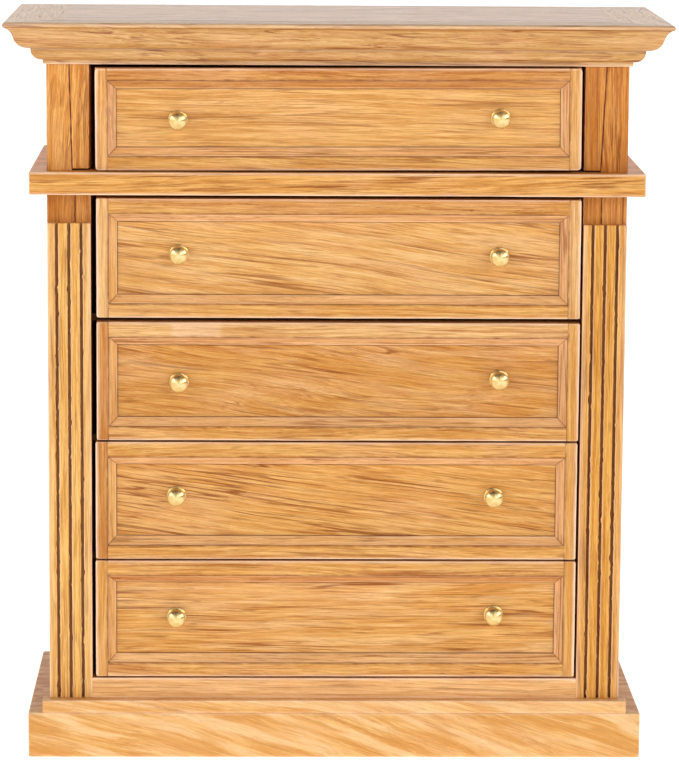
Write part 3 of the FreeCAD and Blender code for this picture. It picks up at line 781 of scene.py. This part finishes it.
DRAWERS = range(1, 6)         # from the top down
BEAD_WIDTH = 1.2
BEAD_EDGE = 0.15              # thickness of the beading at its thin edge
GRID_STEP = 2.0
TILTS = {1: 0.24}             # degrees by which a drawer hangs out of level
PANELS = {1: dict(slope=1.0, ring=1.3, wave=0.4, streaks=0.25, lines=0.5, pores=0.3,
                  light=linear(229, 180, 111), mid=linear(213, 155, 83)),
          2: dict(slope=8.0, ring=2.4, wave=0.7, streaks=0.35, lines=0.75, pores=0.25, bands=0.25,
                  light=linear(229, 181, 113), mid=linear(214, 157, 86)),
          3: dict(slope=6.5, ring=2.3, wave=1.2, streaks=0.35, lines=0.75, pores=0.25, bands=0.2,
                  light=linear(214, 159, 86), mid=linear(198, 134, 61)),
          4: dict(slope=7.5, ring=1.8, wave=0.5, streaks=0.45, lines=0.85, pores=0.3),
          5: dict(slope=0.5, ring=2.0, wave=0.4, streaks=0.35, lines=0.9, pores=0.35, bands=0.25)}
PALE_BOARD = dict(light=linear(229, 183, 123), mid=linear(210, 156, 92))
DEEP_BOARD = dict(light=linear(209, 151, 83), mid=linear(190, 124, 62))
STILES = {(1, "left"): dict(light=linear(235, 184, 120), mid=linear(221, 162, 95)),
          (2, "left"): PALE_BOARD, (2, "right"): PALE_BOARD, (3, "left"): DEEP_BOARD,
          (4, "left"): DEEP_BOARD}
# The top rails of drawers 1 and 2 take darker palettes: painted shade under the cornice and the
# waist.
RAIL_TONES_AND_SHADE = {(1, "top"): DEEP_BOARD, (3, "top"): PALE_BOARD,
         (2, "top"): dict(pores=0.9, light=linear(216, 164, 94), mid=linear(201, 139, 68))}
# Each side's strip takes its own palette by how it faces the light, the bottom one lightest:
# painted light and shade. Drawer 1's top strip is darker still, painted shade under the cornice.
BEAD_TONES_AND_LIGHT = {"top": dict(light=linear(235, 186, 130), mid=linear(219, 162, 104)),
         "bottom": dict(light=linear(246, 197, 137), mid=linear(233, 176, 111)),
         "left": dict(light=linear(229, 178, 111), mid=linear(215, 155, 84)),
         "right": dict(light=linear(237, 186, 132), mid=linear(219, 162, 106)),
         (1, "left"): dict(fibres=1.4, flecks=0.6, pores=0.9, pink=1.0, streaks=0.3,
                           light=OAK_PINK, mid=linear(215, 160, 111)),
         (1, "top"): dict(DEEP_BOARD, streaks=0.4, pores=0.7),
         (5, "top"): dict(light=linear(219, 162, 102), mid=linear(199, 137, 78), pores=0.7)}
BEAD_LINES = {"top": 1.0, "left": 0.6, "right": 0.6, "bottom": 0.45}     # dirt along the frame
BLEACHED = {(3, "top"): (9.2, 16.2, 0.28)}


def front_board(node, opening_low, opening_high):
    """Front board as a grid, so that dust can lie along the inner edge of the beading."""
    low, high = span(node)

    def lines(a, b, c, d):
        """Grid lines from a to d, with narrow bands beside b and c."""
        values = [a, (a + b) / 2, b - 0.1, b, b + 0.07, b + 0.2, b + 0.6]
        count = max(1, round((c - b - 1.2) / GRID_STEP))
        values += [b + 0.6 + (c - b - 1.2) * i / count for i in range(1, count)]
        values += [c - 0.6, c - 0.2, c - 0.07, c]
        return values + [c + 0.1, (c + d) / 2, d]

    xs = lines(low[0], opening_low[0], opening_high[0], high[0])
    zs = lines(low[2], opening_low[2], opening_high[2], high[2])
    points, seam = [], []
    for z in zs:
        for x in xs:
            inside = min(x - opening_low[0], opening_high[0] - x, z - opening_low[2],
                         opening_high[2] - z)
            hollow = 0.012 * abs(unsteady(x * 0.08, z * 0.08, low[2])) if inside > 0.5 else 0.0
            points.append([x, low[1] + hollow, z])
            ragged = 0.8 + 0.5 * unsteady(x * 0.6, z * 0.6, 5.0)
            mark = 1.0 if -0.05 < inside < 0.03 else (0.4 if 0.03 <= inside < 0.12 else 0.0)
            seam.append(min(1.0, max(0.0, mark * ragged)))
    wide, tall = len(xs), len(zs)
    faces = []
    for j in range(tall - 1):
        for i in range(wide - 1):
            a = j * wide + i
            faces.append((a, a + 1, a + 1 + wide, a + wide))
    rim = list(range(wide)) + [j * wide + wide - 1 for j in range(1, tall)]
    rim += [(tall - 1) * wide + i for i in range(wide - 2, -1, -1)]
    rim += [j * wide for j in range(tall - 2, 0, -1)]
    start = len(points)
    for index in rim:
        x, _, z = points[index]
        points.append([x, high[1], z])
        seam.append(0.0)
    for k in range(len(rim)):
        m = (k + 1) % len(rim)
        faces.append((rim[m], rim[k], start + k, start + m))
    faces.append(tuple(start + k for k in reversed(range(len(rim)))))
    return points, faces, {"seam": seam}


def beading_strip(ends, inward, along, seed, face, panel, line):
    """One mitred length, its thick edge against the frame. ends are its outer corners, along its
    direction, inward its outer edge and the way to the panel, line the strength of the dirt."""
    start, stop = ends
    width = BEAD_WIDTH
    # The third value pales the arrises, partly rubbing and partly a painted highlight; the fourth
    # is dirt along the joints.
    section = [(0.0, panel, 0.0, 1.0), (0.0, face + 0.03, 0.0, 1.0), (0.012, face, 0.0, 0.9 * line),
               (0.05, face, 0.0, 0.7 * line), (0.1, face, 0.3, 0.0)]
    slope_stop = panel - BEAD_EDGE
    for share in (0.2, 0.4, 0.6, 0.8):
        section.append((width * share, face + (slope_stop - face) * share, 0.0, 0.0))
    section += [(width - 0.07, slope_stop - 0.05, 0.3, 0.0), (width - 0.02, slope_stop, 0.2, 0.3),
                (width, slope_stop + 0.05, 0.0, 1.0), (width, panel, 0.0, 1.0)]
    length = abs(stop - start)
    direction = 1 if stop > start else -1
    count = max(8, round(length / 0.55))
    shares = [0.0, 0.06 / length] + [i / count for i in range(1, count)] + [1 - 0.06 / length, 1.0]
    rings, wear, seam = [], [], []
    for share in shares:
        ring = []
        for inset, y, worn_and_lit, dusty in section:
            a, b = inset + 0.02, length - inset - 0.02
            place = start + direction * (a + (b - a) * share)
            gap = 0.012 if inset == 0.0 else 0.0
            rough = 0.02 * unsteady(place * 0.8, inset * 2.0, seed)
            ring.append((place, inset + gap + 0.3 * rough, y + abs(rough) * (y < panel)))
            wear.append(worn_and_lit)
            seam.append(dusty if 0 < share < 1 else 0.6)
        rings.append(ring)
    points = []
    for ring in rings:
        for place, inset, y in ring:
            points.append([place, y, inward[0] + inward[1] * inset] if along == "X"
                          else [inward[0] + inward[1] * inset, y, place])
    return points, skin(rings), {"wear": wear, "seam": seam}


FLANGE_RADIUS, FLANGE_THICK = 1.42, 0.3
NECK_RADIUS = 0.55
HEAD_RADIUS = 1.32
HEAD_BACK = 0.3               # how far the head's front stays behind the CAD ball's
HEAD_FLAT = 0.56              # the head's depth in radii, in front of its widest place
HEAD_DEPTH = 1.72             # and in all
HEAD_PARTS, KNOB_SIDES = 22, 56


def knob_shape(centre_x, centre_z, front, panel):
    """Lathe-turned knob: flange, hollowed neck and a domed head with a small flat left by the
    tool."""
    flange, neck, head = FLANGE_RADIUS, NECK_RADIUS, HEAD_RADIUS
    top = panel - FLANGE_THICK
    outline = [(0.3, panel + 1.6), (0.35, panel + 1.5), (0.35, panel + 0.02),
               (flange - 0.05, panel + 0.01), (flange, panel - 0.04), (flange, top + 0.12),
               (flange - 0.03, top + 0.05), (flange - 0.1, top + 0.01), (flange - 0.3, top),
               (neck + 0.12, top - 0.005), (neck + 0.03, top - 0.05)]
    start = math.degrees(math.asin((neck + 0.02) / head))
    widest = front + HEAD_BACK + HEAD_FLAT * head
    for i in range(HEAD_PARTS + 1):
        angle = math.radians(180 - start + (start - 180 + 1.5) * i / HEAD_PARTS)
        depth = HEAD_FLAT * head if angle < math.pi / 2 else (HEAD_DEPTH - HEAD_FLAT) * head
        outline.append((head * math.sin(angle), widest - depth * math.cos(angle)))
    sides = KNOB_SIDES
    rings = []
    for radius, y in outline:
        ring = []
        for k in range(sides):
            a = 2 * math.pi * k / sides
            ring.append([centre_x + radius * math.cos(a), y, centre_z + radius * math.sin(a)])
        rings.append(ring)
    return flat(rings), skin(rings), {}


def build_drawer(number):
    stem = f"drawer_{number}"
    seed = 40 + number * 9
    frame_low, frame_high = span(stem + "_frame")
    bead_low, bead_high = span(stem + "_beading")
    panel_y = frame_high[1]
    pivot = (frame_low + frame_high) / 2
    angle = TILTS.get(number, 0.0)

    def place(name, shape, node, material, slot="oak_fronts"):
        shape = tilted(shape, pivot, angle) if angle else shape
        add_piece(f"{stem}_{name}", *shape, stem, f"{stem}_{node}", slot, material)

    margin = Vector((BEAD_WIDTH, 0, BEAD_WIDTH))
    place("front_panel", front_board(stem + "_front", bead_low + margin, bead_high - margin),
          "front", oak(f"oak_{stem}_panel", "X", seed=seed, **PANELS[number]))

    # Frame: stiles the full height, rails between them. The first of each pair is left or below.
    corner = 0.5 if number == 1 else 0.25
    for k, (name, x0, x1) in enumerate((("left", frame_low[0], bead_low[0]),
                                        ("right", bead_high[0], frame_high[0]))):
        ends = (0.04, corner, 0.1, 0.04) if k else (corner, 0.04, 0.1, 0.04)
        radii = (0.04, 0.22, 0.05, 0.04) if k else (0.22, 0.04, 0.04, 0.05)
        shape = plank((x0, frame_low[1], frame_low[2]), (x1, frame_high[1], frame_high[2]), 2,
                      seed + k, arris=radii, ends=ends, joints=(1 - k,))
        place(f"stile_{name}", shape, "frame",
              oak(f"oak_{stem}_stile_{name}", "Z", slope=0.5, seed=seed + k + 1, ring=1.5,
                  wave=0.5, streaks=0.3, lines=0.3, pores=0.25, worn_and_lit=1.0,
                  **STILES.get((number, name), {})))
    for k, (name, z0, z1) in enumerate((("bottom", frame_low[2], bead_low[2]),
                                        ("top", bead_high[2], frame_high[2]))):
        radii = (0.05, 0.04, 0.04, 0.12) if k else (0.13, 0.04, 0.04, 0.05)
        start, stop, strength = BLEACHED.get((number, name), (0, 0, 0))
        shape = plank((bead_low[0], frame_low[1], z0), (bead_high[0], frame_high[1], z1), 0,
                      seed + 3 + k, arris=radii, ends=0.03, joints=(0,) if k else (3,),
                      pale=(bead_low[0] + start, bead_low[0] + stop, strength))
        place(f"rail_{name}", shape, "frame",
              oak(f"oak_{stem}_rail_{name}", "X", slope=1.5 - k, seed=seed + k + 3, ring=1.8,
                  wave=0.6, streaks=0.6, **RAIL_TONES_AND_SHADE.get((number, name), {})))

    level, upright = (bead_low[0], bead_high[0]), (bead_low[2], bead_high[2])
    strips = [("bottom", "X", level, (bead_low[2], 1)), ("top", "X", level, (bead_high[2], -1)),
              ("left", "Z", upright, (bead_low[0], 1)), ("right", "Z", upright, (bead_high[0], -1))]
    for k, (name, along, ends, inward) in enumerate(strips):
        points, faces, marks = beading_strip(ends, inward, along, seed + k, bead_low[1], panel_y,
                                             BEAD_LINES[name])
        if name in ("top", "left"):
            faces = flipped(faces)
        usual = dict(BEAD_TONES_AND_LIGHT[name], streaks=0.35, pores=0.5, pink=0.6)
        place(f"beading_{name}", (points, faces, marks), "beading",
              oak(f"oak_{stem}_bead_{name}", along, slope=1, seed=seed + k + 5, ring=1.3, wave=0.5,
                  **BEAD_TONES_AND_LIGHT.get((number, name), usual)))

    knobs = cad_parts[stem + "_knobs"].data.vertices
    for name, side in (("left", -1), ("right", 1)):
        own = [v.co / MM for v in knobs if (v.co.x / MM - pivot[0]) * side > 0]
        xs, ys, zs = ([p[i] for p in own] for i in range(3))
        centre = ((min(xs) + max(xs)) / 2, min(ys), (min(zs) + max(zs)) / 2)
        place(f"knob_{name}", knob_shape(centre[0], centre[2], centre[1], panel_y), "knobs",
              brass(f"brass_{stem}_{name}", centre, seed + side), "brass")


for number in DRAWERS:
    build_drawer(number)

# -------- CAD nodes that stay as they are


def dress(node, bevel, material):
    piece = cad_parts[node]
    piece.data.materials.clear()
    piece.data.materials.append(material)
    eased = piece.modifiers.new("eased", "BEVEL")
    eased.width = bevel * MM
    eased.segments = 2
    eased.limit_method = "ANGLE"
    eased.angle_limit = math.radians(SHARP_ANGLE)


for k, level in enumerate(("lower", "upper")):
    dress(f"back_{level}", 0.06, oak(f"oak_back_{level}", "X", seed=120 + k, ring=2.5))
# The dust boards are darkened almost to black, and the bottom board darker too: painted shade
# inside the carcass.
for k in range(1, 4):
    dress(f"dust_board_{k}", 0.05,
          oak(f"oak_dust_{k}", "XTOP", seed=130 + k, ring=2.5, tone=0.14, shine=0.1))
dress("bottom_board", 0.05, oak("oak_bottom_board", "XTOP", seed=134, tone=0.3))
for number in DRAWERS:
    stem = f"drawer_{number}"
    dress(stem + "_sides", 0.1, oak(f"oak_{stem}_sides", "Y", seed=140 + number, pores=0.4))
    dress(stem + "_bottom", 0.03, oak(f"oak_{stem}_bottom", "XTOP", seed=150 + number))
    dress(stem + "_back", 0.08, oak(f"oak_{stem}_back", "X", seed=160 + number))

# -------- floor, light and camera

# The floor and the lights are measured in metres. The floor lies a hair below the base.
REACH, DROP = 12.0, 0.00005
SQUARE = ((-1, -1), (1, -1), (1, 1), (-1, 1))
floor_mesh = bpy.data.meshes.new("floor")
floor_mesh.from_pydata([(x * REACH, y * REACH, -DROP) for x, y in SQUARE], [], [(0, 1, 2, 3)])
floor = add_object("floor", floor_mesh)
material, n = new_material("pale_floor")
diffuse = n.add("ShaderNodeBsdfDiffuse", {"Color": (0.85, 0.85, 0.85, 1)})
glow = n.add("ShaderNodeEmission", {"Color": (1, 1, 1, 1), "Strength": 0.80})
both = n.add("ShaderNodeAddShader", [diffuse.outputs[0], glow.outputs[0]])
n.add("ShaderNodeOutputMaterial", [both.outputs[0]])
floor_mesh.materials.append(material)


# Two softboxes, aimed at the middle of the chest.
AIM = Vector((0, 0, 0.055))
SOFTBOX_SIZE, SOFTBOX_POWER = 0.6, 5.5
for name, side in (("left", -1), ("right", 1)):
    light = bpy.data.lights.new(f"softbox_{name}", "AREA")
    light.shape = "RECTANGLE"
    light.size = light.size_y = SOFTBOX_SIZE
    light.energy = SOFTBOX_POWER
    box = add_object(f"softbox_{name}", light)
    box.location = Vector((side * 1.30, -0.92, 0.78))
    box.rotation_euler = (box.location - AIM).to_track_quat("Z", "Y").to_euler()

world = bpy.data.worlds.new("studio")
bpy.context.scene.world = world
world.use_nodes = True
w = Nodes(world.node_tree)
direction = w.add("ShaderNodeTexCoord").outputs["Generated"]
x, y, z = w.add("ShaderNodeSeparateXYZ", [direction]).outputs
# Bright reflectors above the camera, dimmer on the left, and one behind.
SKY_LEFT, SKY_BEHIND = 1.15, 1.95
front = w.step(y, -0.25, 0.25, 1.0, 0.0)
low_front = w.step(z, 0.35, 0.62, 1.0, 0.06)
low_back = w.step(z, 0.30, 0.55, 1.0, 0.04)
# Two narrow dark gaps between the reflectors, seen in the knobs: straight up and to the right.
beside = w.math("DIVIDE", w.math("ABSOLUTE", x), w.math("MAXIMUM", z, 0.001))
gap_up = w.step(beside, 0.12, 0.26, 0.0, 1.0)
slope = w.math("DIVIDE", z, w.math("MAXIMUM", x, 0.001))
rise = w.math("ABSOLUTE", w.math("SUBTRACT", slope, 0.14))
gap_right = w.step(rise, 0.08, 0.18, 0.0, 1.0)
bright_side = w.math("ADD", w.step(x, 0.0, 0.1), SKY_LEFT)
sky = w.math("MULTIPLY", w.math("MULTIPLY", gap_up, gap_right),
             w.math("MULTIPLY", low_front, bright_side))
behind = w.math("MULTIPLY", w.math("SUBTRACT", 1.0, front), low_back)
strength = w.math("MULTIPLY_ADD", behind, SKY_BEHIND, w.math("MULTIPLY", sky, front))
background = w.add("ShaderNodeBackground", {"Color": (1, 1, 1, 1), "Strength": strength})
w.add("ShaderNodeOutputWorld", [background.outputs[0]])

bpy.context.scene.view_settings.view_transform = "Standard"

# The camera stands a little left of the middle and above the top.
CAMERA_PLACE = (-10.8, -548.0, 144.5)
CAMERA_LENS = 177.26
CAMERA_TURN = -1.209
CAMERA_DOWN = 9.479
CAMERA_ROLL = 0.375
yaw, down, roll = (math.radians(a) for a in (CAMERA_TURN, CAMERA_DOWN, CAMERA_ROLL))
forward = Vector((-math.sin(yaw) * math.cos(down), math.cos(yaw) * math.cos(down), -math.sin(down)))
right = Vector((math.cos(yaw), math.sin(yaw), 0.0))
up = right.cross(forward)
right, up = (right * math.cos(roll) + up * math.sin(roll),
             up * math.cos(roll) - right * math.sin(roll))
camera_data = bpy.data.cameras.new("camera")
camera_data.lens = CAMERA_LENS
camera_data.sensor_width = 36.0
camera_data.clip_start = 0.01
camera = add_object("camera", camera_data)
camera.matrix_world = Matrix((
    (right.x, up.x, -forward.x, CAMERA_PLACE[0] * MM),
    (right.y, up.y, -forward.y, CAMERA_PLACE[1] * MM),
    (right.z, up.z, -forward.z, CAMERA_PLACE[2] * MM),
    (0, 0, 0, 1)))
bpy.context.scene.camera = camera
